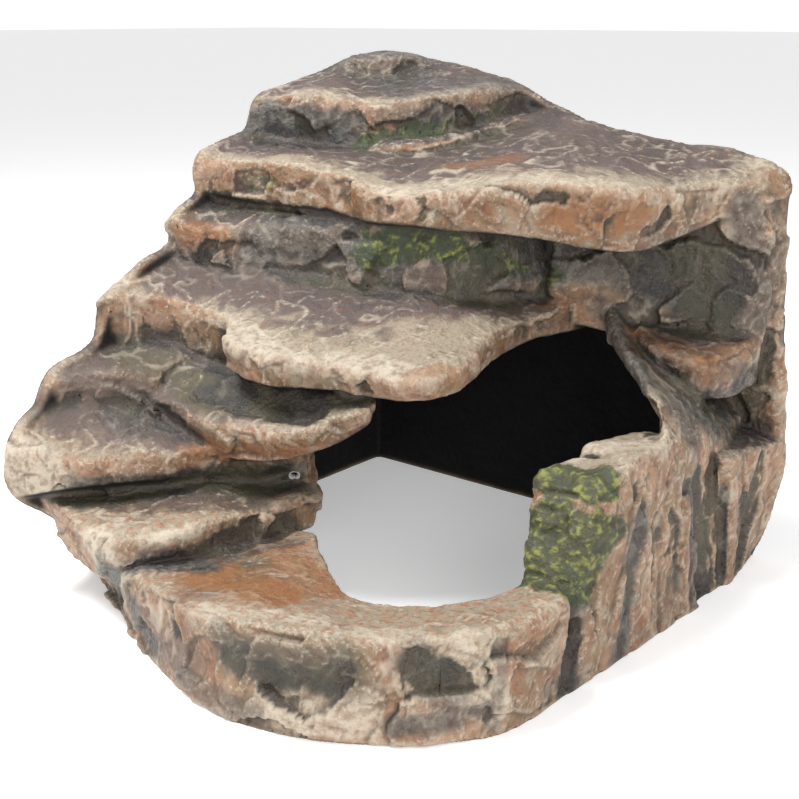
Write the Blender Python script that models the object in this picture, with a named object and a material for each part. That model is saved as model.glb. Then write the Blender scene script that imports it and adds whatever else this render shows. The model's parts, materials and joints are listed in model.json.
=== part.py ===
"""Corner cave ornament: stacked rock ledges around a hollow cave, against two flat rear walls.

Units are metres, +Z is up, and the origin is the middle of the footprint on the ground.
A point is written (u, v, z): u runs along the rear right wall and v along the rear left wall,
both measured from the outer back corner, and z is the height above the ground.
"""
import bmesh
import bpy
import numpy as np
from mathutils import Vector

# Overall size of the ornament
WIDTH = 0.264
DEPTH = 0.281

# Construction
PANEL = 0.006            # thickness of the two flat rear walls
GAP = 0.0003             # clearance between bonded castings
GROW = 0.0004            # how far a casting's copy is swollen before it cuts its neighbour
LONGEST_GROW = 0.0012    # the same at a sharp corner, where two faces meet at a thin angle
CURVE_STEPS = 16         # fine steps between two points of an edge, before it is divided evenly
LIP = 0.0035             # width of the worn lip along a ledge's edge
LIP_DROP = 0.0015        # how far that lip falls below the top
FACE = PANEL + GAP       # where a casting that touches a rear wall starts
STATIONS = 22            # sections along a ledge

# Drilled vent through the large left ledge
VENT_RADIUS = 0.0015
VENT_AT = (0.0945, 0.1730, 0.0558)
VENT_DEPTH = 0.060
VENT_SIDES = 16
VENT_DIRECTION = (-1.0, 1.0, 0.3)

# Paint of the castings: colour, roughness
PAINT = {
    "tan": ((0.50, 0.36, 0.26), 0.55),
    "mauve": ((0.33, 0.25, 0.24), 0.50),
    "slate": ((0.20, 0.20, 0.21), 0.45),
    "ochre": ((0.52, 0.30, 0.15), 0.50),
    "moss": ((0.30, 0.32, 0.10), 0.60),
    "raw": ((0.17, 0.16, 0.15), 0.60),
}

# Outlines of the two rear walls: distance from the back corner, height
LEFT_WALL = [
    (0.0000, 0.000), (0.2190, 0.000), (0.2300, 0.011), (0.2340, 0.023), (0.2400, 0.030),
    (0.2500, 0.039), (0.2610, 0.047), (0.2665, 0.054), (0.2675, 0.062), (0.2660, 0.072),
    (0.2640, 0.078), (0.2570, 0.086), (0.2480, 0.091), (0.2445, 0.099), (0.2390, 0.106),
    (0.2310, 0.109), (0.2200, 0.111), (0.2120, 0.115), (0.2095, 0.124), (0.2090, 0.133),
    (0.2020, 0.137), (0.1935, 0.141), (0.1800, 0.149), (0.1680, 0.152), (0.1605, 0.156),
    (0.1615, 0.166), (0.1570, 0.171), (0.1420, 0.178), (0.1435, 0.185), (0.1430, 0.194),
    (0.1380, 0.199), (0.1240, 0.203), (0.1060, 0.207), (0.1035, 0.213), (0.1000, 0.222),
    (0.0930, 0.226), (0.0700, 0.230), (0.0470, 0.235), (0.0290, 0.240), (0.0000, 0.242),
]
RIGHT_WALL = [
    (FACE, 0.000), (0.2510, 0.000), (0.2550, 0.009), (0.2585, 0.021), (0.2605, 0.032),
    (0.2630, 0.043), (0.2640, 0.054), (0.2630, 0.064), (0.2615, 0.084), (0.2590, 0.104),
    (0.2570, 0.124), (0.2560, 0.143), (0.2545, 0.160), (0.2540, 0.181), (0.2550, 0.188),
    (0.2525, 0.194), (0.2425, 0.199), (0.2325, 0.201), (0.2220, 0.204), (0.2115, 0.204),
    (0.2010, 0.203), (0.1680, 0.208), (0.1560, 0.209), (0.1440, 0.212), (0.1320, 0.217),
    (0.1195, 0.221), (0.1070, 0.227), (0.0940, 0.232), (0.0810, 0.234), (0.0675, 0.237),
    (0.0540, 0.239), (0.0255, 0.241), (FACE, 0.242),
]

# Ledges. "edge" is the front edge from left to right: u, v, top height, foot height.
# "back" is the line that the casting reaches back to, in the same form.
# "skirt" is how far the foot stands out from the edge, at the left end and at the right end;
# a negative one is undercut.
LEDGES = {
    "sill_left": dict(
        paint="tan", skirt=(-0.008, 0.004),
        edge=[(FACE, 0.231, 0.026, 0.0), (0.030, 0.242, 0.027, 0.0), (0.062, 0.2545, 0.030, 0.0),
              (0.098, 0.268, 0.035, 0.0), (0.130, 0.275, 0.040, 0.0), (0.160, 0.277, 0.043, 0.0)],
        back=[(FACE, 0.190, 0.026, 0.0), (0.045, 0.200, 0.028, 0.0), (0.085, 0.196, 0.033, 0.0),
              (0.116, 0.184, 0.038, 0.0), (0.131, 0.195, 0.038, 0.0), (0.152, 0.210, 0.036, 0.0)]),
    "sill_front": dict(
        paint="tan", skirt=(0.003, 0.003),
        edge=[(0.1603, 0.277, 0.043, 0.0), (0.186, 0.270, 0.044, 0.0), (0.210, 0.257, 0.043, 0.0),
              (0.232, 0.239, 0.043, 0.0)],
        back=[(0.1523, 0.210, 0.036, 0.0), (0.170, 0.220, 0.036, 0.0), (0.190, 0.220, 0.037, 0.0),
              (0.207, 0.212, 0.039, 0.0)]),
    "sill_corner": dict(
        paint="tan", skirt=(0.002, -0.002),
        edge=[(0.2323, 0.239, 0.043, 0.0), (0.246, 0.223, 0.044, 0.0), (0.251, 0.205, 0.044, 0.0),
              (0.253, 0.180, 0.045, 0.0)],
        back=[(0.2073, 0.2115, 0.039, 0.0), (0.218, 0.201, 0.041, 0.0), (0.225, 0.188, 0.042, 0.0),
              (0.228, 0.172, 0.044, 0.0)]),
    "lower_ledge": dict(
        paint="tan", skirt=(-0.010, 0.004),
        edge=[(FACE, 0.252, 0.050, 0.030), (0.022, 0.256, 0.048, 0.022), (0.046, 0.261, 0.046, 0.020),
              (0.065, 0.261, 0.046, 0.020), (0.080, 0.250, 0.047, 0.024), (0.091, 0.234, 0.049, 0.028),
              (0.099, 0.212, 0.049, 0.031), (0.104, 0.190, 0.050, 0.033), (0.107, 0.172, 0.051, 0.034)],
        back=[(FACE, 0.198, 0.058, 0.020), (0.030, 0.192, 0.057, 0.018), (0.050, 0.180, 0.058, 0.022),
              (0.068, 0.166, 0.055, 0.026), (0.088, 0.150, 0.053, 0.032)]),
    "big_ledge": dict(
        paint="tan", skirt=(0.000, -0.010),
        edge=[(FACE, 0.267, 0.077, 0.052), (0.020, 0.258, 0.074, 0.055), (0.042, 0.243, 0.070, 0.059),
              (0.056, 0.226, 0.070, 0.059), (0.072, 0.204, 0.072, 0.056), (0.092, 0.184, 0.074, 0.052),
              (0.102, 0.175, 0.078, 0.052)],
        back=[(FACE, 0.226, 0.100, 0.044), (0.028, 0.214, 0.093, 0.044), (0.046, 0.194, 0.085, 0.044),
              (0.066, 0.170, 0.082, 0.046), (0.086, 0.150, 0.084, 0.050)]),
    "left_step": dict(
        paint="mauve", skirt=(0.002, 0.002),
        edge=[(FACE, 0.244, 0.103, 0.088), (0.014, 0.232, 0.103, 0.085), (0.026, 0.218, 0.102, 0.080),
              (0.036, 0.208, 0.098, 0.076)],
        back=[(FACE, 0.176, 0.118, 0.080), (0.014, 0.174, 0.117, 0.080), (0.026, 0.170, 0.116, 0.080),
              (0.036, 0.166, 0.114, 0.080)]),
    "basin_ledge": dict(
        paint="tan", skirt=(-0.007, -0.007),
        edge=[(0.0363, 0.212, 0.090, 0.070), (0.050, 0.208, 0.090, 0.068), (0.067, 0.207, 0.087, 0.068),
              (0.085, 0.204, 0.084, 0.067), (0.104, 0.199, 0.086, 0.069), (0.122, 0.191, 0.090, 0.075),
              (0.137, 0.182, 0.095, 0.084), (0.146, 0.176, 0.100, 0.092)],
        back=[(0.0363, 0.170, 0.112, 0.072), (0.050, 0.160, 0.112, 0.072), (0.066, 0.158, 0.112, 0.076),
              (0.084, 0.156, 0.112, 0.080), (0.102, 0.152, 0.112, 0.084), (0.122, 0.146, 0.112, 0.088)]),
    "platform": dict(
        paint="mauve", skirt=(-0.002, -0.008),
        edge=[(FACE, 0.209, 0.134, 0.108), (0.020, 0.190, 0.134, 0.106), (0.039, 0.180, 0.130, 0.107),
              (0.057, 0.180, 0.127, 0.106), (0.078, 0.193, 0.122, 0.104), (0.100, 0.195, 0.119, 0.103),
              (0.128, 0.180, 0.119, 0.103), (0.152, 0.179, 0.117, 0.103), (0.165, 0.175, 0.117, 0.104),
              (0.175, 0.164, 0.117, 0.105), (0.176, 0.146, 0.119, 0.106), (0.170, 0.124, 0.123, 0.109),
              (0.167, 0.100, 0.125, 0.111), (0.169, 0.076, 0.128, 0.113), (0.181, 0.050, 0.132, 0.115),
              (0.187, 0.030, 0.133, 0.116)],
        back=[(FACE, 0.130, 0.160, 0.130), (0.040, 0.124, 0.155, 0.126), (0.077, 0.116, 0.148, 0.124),
              (0.110, 0.096, 0.148, 0.124), (0.130, 0.070, 0.147, 0.124), (0.138, 0.040, 0.143, 0.122),
              (0.142, 0.018, 0.139, 0.120)]),
    "riser": dict(
        paint="slate", skirt=(0.004, 0.004),
        edge=[(FACE, 0.161, 0.167, 0.142), (0.020, 0.155, 0.164, 0.140), (0.038, 0.146, 0.165, 0.138),
              (0.057, 0.138, 0.167, 0.138), (0.080, 0.130, 0.168, 0.138), (0.110, 0.124, 0.170, 0.138),
              (0.138, 0.108, 0.170, 0.138), (0.150, 0.086, 0.168, 0.138), (0.158, 0.056, 0.168, 0.132),
              (0.166, 0.026, 0.168, 0.128)],
        back=[(FACE, 0.096, 0.184, 0.146), (0.040, 0.092, 0.184, 0.144), (0.080, 0.080, 0.184, 0.142),
              (0.108, 0.056, 0.184, 0.140), (0.122, 0.020, 0.184, 0.134)]),
    "upper_slab": dict(
        paint="tan", skirt=(-0.003, -0.003),
        edge=[(FACE, 0.143, 0.195, 0.178), (0.026, 0.137, 0.195, 0.175), (0.060, 0.131, 0.195, 0.174),
              (0.086, 0.129, 0.193, 0.173), (0.108, 0.133, 0.189, 0.171), (0.120, 0.133, 0.187, 0.172),
              (0.145, 0.124, 0.189, 0.170), (0.172, 0.106, 0.193, 0.168), (0.201, 0.086, 0.192, 0.162),
              (0.215, 0.069, 0.190, 0.160), (0.229, 0.044, 0.190, 0.168), (0.245, 0.020, 0.191, 0.178),
              (0.254, FACE, 0.191, 0.180)],
        back=[(FACE, 0.098, 0.206, 0.170), (FACE, 0.060, 0.207, 0.170), (FACE, 0.030, 0.208, 0.170),
              (FACE, FACE, 0.209, 0.170), (0.040, FACE, 0.210, 0.170), (0.090, FACE, 0.212, 0.170),
              (0.134, FACE, 0.216, 0.170), (0.181, FACE, 0.206, 0.172), (0.220, FACE, 0.204, 0.174),
              (0.248, FACE, 0.197, 0.178)]),
    "upper_step": dict(
        paint="mauve", skirt=(0.002, 0.002),
        edge=[(0.070, 0.086, 0.201, 0.190), (0.084, 0.080, 0.203, 0.190), (0.096, 0.068, 0.205, 0.190),
              (0.106, 0.046, 0.209, 0.194), (0.116, 0.026, 0.214, 0.200), (0.140, FACE, 0.216, 0.204)],
        back=[(0.056, 0.060, 0.206, 0.190), (0.060, 0.050, 0.207, 0.190), (0.068, 0.040, 0.209, 0.190),
              (0.078, 0.026, 0.212, 0.194), (0.086, 0.014, 0.215, 0.198), (0.094, FACE, 0.218, 0.200)]),
    "cap_slab": dict(
        paint="slate", skirt=(0.003, 0.003),
        edge=[(FACE, 0.102, 0.222, 0.200), (0.028, 0.092, 0.226, 0.196), (0.047, 0.084, 0.224, 0.194),
              (0.055, 0.079, 0.222, 0.194), (0.066, 0.079, 0.222, 0.194), (0.078, 0.068, 0.223, 0.196),
              (0.092, 0.048, 0.228, 0.200), (0.104, 0.025, 0.229, 0.204), (0.110, FACE, 0.227, 0.206)],
        back=[(FACE, 0.060, 0.232, 0.200), (FACE, 0.030, 0.238, 0.200), (FACE, FACE, 0.240, 0.200),
              (0.030, FACE, 0.240, 0.200), (0.068, FACE, 0.237, 0.200)]),
    "summit_knob": dict(
        paint="mauve", skirt=(0.003, 0.003),
        edge=[(FACE, 0.042, 0.239, 0.226), (0.020, 0.045, 0.242, 0.226), (0.036, 0.037, 0.243, 0.226),
              (0.047, 0.023, 0.243, 0.226), (0.054, FACE, 0.239, 0.226)],
        back=[(FACE, 0.024, 0.243, 0.230), (FACE, 0.014, 0.244, 0.230), (FACE, FACE, 0.244, 0.230),
              (0.018, FACE, 0.244, 0.230), (0.030, FACE, 0.243, 0.230)]),
    "niche_ledge": dict(
        paint="ochre", skirt=(-0.006, -0.006),
        edge=[(0.192, 0.030, 0.122, 0.098), (0.204, 0.050, 0.120, 0.096), (0.222, 0.060, 0.117, 0.094),
              (0.240, 0.058, 0.114, 0.092), (0.2515, 0.040, 0.114, 0.090), (0.254, 0.016, 0.120, 0.092)],
        back=[(0.188, FACE, 0.124, 0.100), (0.205, FACE, 0.124, 0.100), (0.225, FACE, 0.124, 0.098),
              (0.245, FACE, 0.123, 0.096)]),
    "niche_lining": dict(
        paint="slate", skirt=(0.004, 0.004),
        edge=[(0.164, 0.064, 0.176, 0.124), (0.184, 0.046, 0.176, 0.116), (0.206, 0.036, 0.176, 0.116),
              (0.228, 0.028, 0.180, 0.116), (0.244, 0.020, 0.184, 0.116), (0.2535, 0.014, 0.184, 0.116)],
        back=[(0.148, FACE, 0.180, 0.124), (0.176, FACE, 0.180, 0.116), (0.205, FACE, 0.180, 0.116),
              (0.230, FACE, 0.182, 0.116), (0.252, FACE, 0.184, 0.116)]),
    "niche_rock": dict(
        paint="slate", skirt=(-0.002, -0.002),
        edge=[(0.182, 0.040, 0.136, 0.122), (0.192, 0.056, 0.128, 0.116), (0.206, 0.069, 0.119, 0.109),
              (0.225, 0.084, 0.112, 0.101), (0.242, 0.100, 0.103, 0.092), (0.251, 0.106, 0.092, 0.076)],
        back=[(0.170, FACE, 0.136, 0.118), (0.196, FACE, 0.110, 0.094), (0.216, FACE, 0.090, 0.074),
              (0.236, FACE, 0.078, 0.062), (0.248, 0.030, 0.074, 0.058), (0.251, 0.064, 0.074, 0.058)]),
}

# Blocks stand on end. Each has a foot outline and a top outline, both anticlockwise from above.
BLOCKS = {
    "mossy_block": dict(
        paint="moss",
        foot=[(0.229, 0.184, 0.030), (0.251, 0.177, 0.030), (0.2515, 0.150, 0.030),
              (0.242, 0.136, 0.000), (0.222, 0.142, 0.000)],
        top=[(0.215, 0.153, 0.081), (0.248, 0.1515, 0.082), (0.248, 0.142, 0.085),
             (0.242, 0.131, 0.087), (0.222, 0.133, 0.085)]),
    "column_front": dict(
        paint="slate",
        foot=[(0.228, 0.1797, 0.000), (0.2520, 0.1797, 0.000), (0.2535, 0.148, 0.000),
              (0.228, 0.148, 0.000)],
        top=[(0.246, 0.150, 0.080), (0.2515, 0.150, 0.079), (0.2525, 0.129, 0.089),
             (0.238, 0.129, 0.091)]),
    "column_shoulder": dict(
        paint="tan",
        foot=[(0.224, 0.1477, 0.000), (0.2535, 0.1477, 0.000), (0.2565, 0.092, 0.000),
              (0.224, 0.092, 0.000)],
        top=[(0.222, 0.1287, 0.088), (0.2525, 0.1287, 0.090), (0.253, 0.099, 0.089),
             (0.226, 0.099, 0.086)]),
    "column_middle": dict(
        paint="tan",
        foot=[(0.228, 0.0917, 0.000), (0.2565, 0.0917, 0.000), (0.2575, 0.070, 0.000),
              (0.228, 0.070, 0.000)],
        top=[(0.228, 0.0987, 0.087), (0.253, 0.0987, 0.088), (0.254, 0.079, 0.080),
             (0.228, 0.079, 0.083)]),
    "column_recessed": dict(
        paint="slate",
        foot=[(0.228, 0.0697, 0.000), (0.254, 0.0697, 0.000), (0.255, 0.044, 0.000),
              (0.228, 0.044, 0.000)],
        top=[(0.228, 0.0787, 0.074), (0.250, 0.0787, 0.070), (0.250, 0.054, 0.068),
             (0.228, 0.054, 0.072)]),
    "column_rear": dict(
        paint="tan",
        foot=[(0.228, 0.0437, 0.000), (0.2580, 0.0437, 0.000), (0.2520, FACE, 0.000),
              (0.228, FACE, 0.000)],
        top=[(0.228, 0.0537, 0.072), (0.2575, 0.0537, 0.068), (0.2625, FACE, 0.066),
             (0.228, FACE, 0.072)]),
}

# A casting is cut back from the castings before it in this list, so it rests on them.
ORDER = [
    "sill_left", "sill_front", "sill_corner", "mossy_block", "column_front", "column_shoulder",
    "column_middle", "column_recessed", "column_rear", "lower_ledge", "big_ledge", "left_step",
    "basin_ledge", "platform", "niche_rock", "niche_ledge", "niche_lining", "riser", "upper_slab",
    "upper_step", "cap_slab", "summit_knob",
]


def place(u, v, z):
    """Turn distances from the back corner into a point about the middle of the footprint."""
    return Vector((u - WIDTH / 2, DEPTH / 2 - v, z))


def clear_scene():
    for item in list(bpy.data.objects):
        bpy.data.objects.remove(item, do_unlink=True)


def new_collection(name):
    collection = bpy.data.collections.new(name)
    bpy.context.scene.collection.children.link(collection)
    return collection


def paint_material(name, paint):
    colour, roughness = PAINT[paint]
    material = bpy.data.materials.new(name + "_paint")
    material.use_nodes = True
    shader = material.node_tree.nodes["Principled BSDF"]
    shader.inputs["Base Color"].default_value = (*colour, 1.0)
    shader.inputs["Roughness"].default_value = roughness
    shader.inputs["Metallic"].default_value = 0.0
    return material


def spline(points, count):
    """Sample a smooth curve through the points, evenly along its length."""
    points = [Vector(point) for point in points]
    padded = [2 * points[0] - points[1], *points, 2 * points[-1] - points[-2]]
    fine = []
    for index in range(len(points) - 1):
        a, b, c, d = padded[index:index + 4]
        for step in range(CURVE_STEPS):
            t = step / CURVE_STEPS
            fine.append(0.5 * (2 * b + (c - a) * t + (2 * a - 5 * b + 4 * c - d) * t ** 2
                               + (3 * b - a - 3 * c + d) * t ** 3))
    fine.append(points[-1])
    reached = [0.0]
    for before, after in zip(fine, fine[1:]):
        reached.append(reached[-1] + (after - before).length)
    samples = []
    segment = 0
    for index in range(count):
        wanted = reached[-1] * index / (count - 1)
        while segment < len(fine) - 2 and reached[segment + 1] < wanted:
            segment += 1
        span = reached[segment + 1] - reached[segment]
        samples.append(fine[segment].lerp(fine[segment + 1], (wanted - reached[segment]) / span))
    return samples


def object_from(mesh_builder, name, collection):
    """Close, orient and triangulate a bmesh, and turn it into an object."""
    bmesh.ops.recalc_face_normals(mesh_builder, faces=mesh_builder.faces)
    if mesh_builder.calc_volume(signed=True) < 0:
        bmesh.ops.reverse_faces(mesh_builder, faces=mesh_builder.faces)
    bmesh.ops.triangulate(mesh_builder, faces=mesh_builder.faces)
    mesh = bpy.data.meshes.new(name)
    mesh_builder.to_mesh(mesh)
    mesh_builder.free()
    item = bpy.data.objects.new(name, mesh)
    collection.objects.link(item)
    return item


def skin(sections):
    """Join equal closed sections into one solid with flat ends."""
    builder = bmesh.new()
    rings = [[builder.verts.new(point) for point in section] for section in sections]
    size = len(rings[0])
    for ring, following in zip(rings, rings[1:]):
        for index in range(size):
            after = (index + 1) % size
            builder.faces.new((ring[index], ring[after], following[after], following[index]))
    builder.faces.new(rings[0])
    builder.faces.new(rings[-1])
    return builder


def ledge_sections(edge, back, skirt):
    """Sections across a ledge. Each is back top, lip, edge, foot of the face, back foot."""
    edge_tops = spline([place(u, v, top) for u, v, top, _ in edge], STATIONS)
    edge_feet = spline([place(u, v, foot) for u, v, _, foot in edge], STATIONS)
    back_tops = spline([place(u, v, top) for u, v, top, _ in back], STATIONS)
    back_feet = spline([place(u, v, foot) for u, v, _, foot in back], STATIONS)
    skirts = np.linspace(*skirt, STATIONS)
    sections = []
    for top, foot, rear, under, stand in zip(edge_tops, edge_feet, back_tops, back_feet, skirts):
        inward = Vector((rear.x - top.x, rear.y - top.y, 0)).normalized()
        lip = top + inward * LIP
        lip.z += (rear.z - top.z) * LIP / max((rear - top).length, LIP)
        edge_point = top - Vector((0, 0, LIP_DROP))
        toe = foot - inward * float(stand)
        sections.append([rear, lip, edge_point, toe, under])
    return sections


def ledge(name, collection):
    """A ledge is skinned from its sections and closed flat at its two ends."""
    spec = LEDGES[name]
    sections = ledge_sections(spec["edge"], spec["back"], spec["skirt"])
    return object_from(skin(sections), name, collection)


def block(name, collection):
    """A standing block is a loft from its foot outline to its top outline."""
    spec = BLOCKS[name]
    foot = [place(*point) for point in spec["foot"]]
    top = [place(*point) for point in spec["top"]]
    return object_from(skin([foot, top]), name, collection)


def left_panel(collection):
    inner = [place(PANEL, v, z) for v, z in LEFT_WALL]
    outer = [place(0.0, v, z) for v, z in LEFT_WALL]
    return object_from(skin([outer, inner]), "rear_left_wall", collection)


def right_panel(collection):
    inner = [place(u, PANEL, z) for u, z in RIGHT_WALL]
    outer = [place(u, 0.0, z) for u, z in RIGHT_WALL]
    return object_from(skin([outer, inner]), "rear_right_wall", collection)


def swell(vertex):
    """The move that lifts every face around a vertex outwards by GROW."""
    normals = np.array([face.normal for face in vertex.link_faces])
    move = Vector(np.linalg.pinv(normals, rcond=0.1) @ np.full(len(normals), GROW))
    if move.length > LONGEST_GROW:
        move *= LONGEST_GROW / move.length
    return move


def swollen_copy(item, cutters):
    """A hidden copy of a casting, grown a little, that cuts the clearance into a neighbour."""
    builder = bmesh.new()
    builder.from_mesh(item.data)
    builder.normal_update()
    moves = [swell(vertex) for vertex in builder.verts]
    for vertex, move in zip(builder.verts, moves):
        vertex.co += move
    mesh = bpy.data.meshes.new(item.name + "_cutter")
    builder.to_mesh(mesh)
    builder.free()
    cutter = bpy.data.objects.new(item.name + "_cutter", mesh)
    cutter.hide_render = True
    cutter.display_type = "WIRE"
    cutters.objects.link(cutter)
    return cutter


def subtract(item, cutter):
    modifier = item.modifiers.new("clearance_" + cutter.name, "BOOLEAN")
    modifier.operation = "DIFFERENCE"
    modifier.solver = "EXACT"
    modifier.use_self = True
    modifier.object = cutter


def boxes_meet(first, second):
    low_a, high_a = bounds(first)
    low_b, high_b = bounds(second)
    return all(low_a[i] < high_b[i] and low_b[i] < high_a[i] for i in range(3))


def bounds(item):
    points = [vertex.co for vertex in item.data.vertices]
    low = [min(point[i] for point in points) for i in range(3)]
    high = [max(point[i] for point in points) for i in range(3)]
    return low, high


def island_volume(builder, faces):
    """Signed volume enclosed by one island of triangles."""
    return sum(face.verts[0].co.dot(face.verts[1].co.cross(face.verts[2].co)) for face in faces) / 6


def islands(builder):
    """Faces grouped into connected islands."""
    waiting = set(builder.faces)
    groups = []
    while waiting:
        start = waiting.pop()
        group = [start]
        front = [start]
        while front:
            face = front.pop()
            for edge in face.edges:
                for other in edge.link_faces:
                    if other in waiting:
                        waiting.remove(other)
                        group.append(other)
                        front.append(other)
        groups.append(group)
    return groups


def settle(item):
    """Apply the clearance cuts and drop the crumbs that they leave loose."""
    graph = bpy.context.evaluated_depsgraph_get()
    mesh = bpy.data.meshes.new_from_object(item.evaluated_get(graph))
    builder = bmesh.new()
    builder.from_mesh(mesh)
    bmesh.ops.triangulate(builder, faces=builder.faces)
    groups = islands(builder)
    groups.sort(key=lambda group: -abs(island_volume(builder, group)))
    for group in groups[1:]:
        bmesh.ops.delete(builder, geom=group, context="FACES")
    loose = [vertex for vertex in builder.verts if not vertex.link_faces]
    bmesh.ops.delete(builder, geom=loose, context="VERTS")
    builder.to_mesh(mesh)
    builder.free()
    item.modifiers.clear()
    item.data = mesh


def drill(item, cutters):
    """The vent runs into the ledge square to its front, rising a little."""
    start = place(*VENT_AT)
    bpy.ops.mesh.primitive_cylinder_add(vertices=VENT_SIDES, radius=VENT_RADIUS, depth=VENT_DEPTH,
                                        location=start)
    bit = bpy.context.active_object
    bit.name = "vent_cutter"
    bit.rotation_euler = Vector(VENT_DIRECTION).to_track_quat("Z", "Y").to_euler()
    bit.hide_render = True
    bit.display_type = "WIRE"
    for collection in list(bit.users_collection):
        collection.objects.unlink(bit)
    cutters.objects.link(bit)
    subtract(item, bit)


def main():
    clear_scene()
    parts = new_collection("corner_cave_ornament")
    cutters = new_collection("cutters")
    finished = [left_panel(parts), right_panel(parts)]
    finished[0].data.materials.append(paint_material("rear_left_wall", "raw"))
    finished[1].data.materials.append(paint_material("rear_right_wall", "raw"))
    for name in ORDER:
        make = ledge if name in LEDGES else block
        spec = LEDGES.get(name) or BLOCKS[name]
        item = make(name, parts)
        for neighbour in finished:
            if boxes_meet(item, neighbour):
                subtract(item, swollen_copy(neighbour, cutters))
        if name == "big_ledge":
            drill(item, cutters)
        settle(item)
        item.data.materials.clear()
        item.data.materials.append(paint_material(name, spec["paint"]))
        finished.append(item)


main()
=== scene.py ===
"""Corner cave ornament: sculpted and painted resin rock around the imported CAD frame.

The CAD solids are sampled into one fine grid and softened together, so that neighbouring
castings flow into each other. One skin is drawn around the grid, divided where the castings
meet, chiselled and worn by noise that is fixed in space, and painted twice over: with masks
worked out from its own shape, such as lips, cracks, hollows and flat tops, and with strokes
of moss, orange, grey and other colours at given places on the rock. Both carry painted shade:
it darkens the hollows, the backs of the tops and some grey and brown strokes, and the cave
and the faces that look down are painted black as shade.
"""
import json
import math
import bmesh
import bpy
import numpy as np
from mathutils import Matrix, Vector
from mathutils.bvhtree import BVHTree


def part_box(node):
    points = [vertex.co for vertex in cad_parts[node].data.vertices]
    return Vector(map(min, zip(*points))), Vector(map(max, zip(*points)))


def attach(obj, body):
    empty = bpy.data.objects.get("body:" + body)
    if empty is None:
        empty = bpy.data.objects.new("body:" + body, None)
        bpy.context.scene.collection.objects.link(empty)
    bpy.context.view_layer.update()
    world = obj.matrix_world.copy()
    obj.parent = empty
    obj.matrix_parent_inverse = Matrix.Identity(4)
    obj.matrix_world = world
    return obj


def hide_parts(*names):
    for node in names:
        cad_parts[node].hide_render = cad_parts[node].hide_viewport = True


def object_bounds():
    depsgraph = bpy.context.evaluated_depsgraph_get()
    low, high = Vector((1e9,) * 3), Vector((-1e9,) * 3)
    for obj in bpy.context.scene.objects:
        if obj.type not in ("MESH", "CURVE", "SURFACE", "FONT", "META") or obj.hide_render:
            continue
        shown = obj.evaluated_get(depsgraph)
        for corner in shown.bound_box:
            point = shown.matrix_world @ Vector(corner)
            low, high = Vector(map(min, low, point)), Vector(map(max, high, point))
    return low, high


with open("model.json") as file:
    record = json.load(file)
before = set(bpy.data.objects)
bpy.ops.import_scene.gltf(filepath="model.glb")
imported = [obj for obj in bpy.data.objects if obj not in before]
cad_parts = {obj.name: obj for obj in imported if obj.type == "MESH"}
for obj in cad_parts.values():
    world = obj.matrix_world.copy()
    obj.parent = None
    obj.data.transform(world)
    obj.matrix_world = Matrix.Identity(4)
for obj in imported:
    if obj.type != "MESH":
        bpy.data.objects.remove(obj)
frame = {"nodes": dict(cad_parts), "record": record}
cad_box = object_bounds()

# ---------------------------------------------------------------- driving dimensions (metres)
LOW, HIGH = (np.array(corner, float) for corner in cad_box)
CORNER = np.array([LOW[0], HIGH[1], 0.0])     # outer back corner, where the two walls meet
CELL = 0.00125      # size of the grid's cells
MARGIN = 0.012                                # empty space on the grid's free sides and on top
SOFTEN = 0.0016                               # how far worn edges are rounded
FILL_BIAS = 0.15                              # the higher, the less the inner corners fill
LABEL_SPREAD = 0.0030                         # reach of a casting when the grid is shared out
LEAST_SHARE = 1e-4                            # a cell with less casting near it belongs to none
SEED = 7
TINY = 1e-12                                  # keeps a length of zero out of a division

# Scales at which hollows are looked for: spread of the blur, and how far outside the skin it is read
HOLLOW_SCALES = {"near": (0.0048, 0.004), "wide": (0.0090, 0.007), "far": (0.0190, 0.005)}

# Rays that sample a CAD solid, one down each column of cells
RAY_START = 0.01                              # height above the solid that a ray starts from
RAY_STEP = 1e-5                               # how far below a crossing it goes on
RAY_SHIFT = (1e-5, 1.3e-5)                    # keeps the rays off the solids' own edges
MOST_CROSSINGS = 24

# Noise
OCTAVE_SHIFT = 17.3                           # keeps the layers' lattices apart
OCTAVE_GAIN = 0.5                             # strength of a layer beside the one before
NOISE_REACH = 1.6                             # brings layered noise to about -1 to 1

# Relief of the rock: size of its lumps, and how far they stand out
FACET_SIZE, FACET_DEPTH = 0.022, 0.0034       # broken faces on the steep sides
PLANK_SIZE = 0.015                            # upright planks of the columns' feet
CHIP_SIZE, CHIP_DEPTH, TOP_CHIP_DEPTH = 0.009, 0.0007, 0.0003
BROAD_SIZE, BROAD_DEPTH = 0.050, 0.0010
MIDDLE_SIZE, TOP_MIDDLE_DEPTH, SIDE_MIDDLE_DEPTH, CAVE_MIDDLE_DEPTH = 0.016, 0.0005, 0.0002, 0.0006
FINE_SIZE, FINE_DEPTH = 0.0045, 0.00016
NIBBLE_SIZE, NIBBLE_DEPTH = 0.010, 0.0007     # bites out of the lips
MOSS_SIZE, MOSS_DEPTH = 0.016, 0.0011         # wavy ridges of the mossy block
VEIN_HEIGHT = 0.0006
BITTEN_LIP, PAINTED_LIP = 0.015, 0.007        # reach of the smoothing that finds the lips
WARP_SIZE, WARP_REACH = 0.020, 0.004          # bends the edges of the broken faces
BROAD_VEINS, NARROW_VEINS = 0.026, 0.013      # sizes of the two nets of veins

# Where things are: each pair is where smoothstep starts and where it ends
FLAT_TOP = (0.55, 0.85)                       # upward part of a normal, from a slope to a flat top
PLANK_U, PLANK_V, PLANK_HEIGHT = (0.222, 0.236), (0.200, 0.175), (0.095, 0.080)
CAVE_RIGHT = (0.235, 0.215)                   # u below which the rear right wall is inside the cave
LOW_TOPS = (0.064, 0.052)                     # height below which flat tops are peach, not mauve

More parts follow.
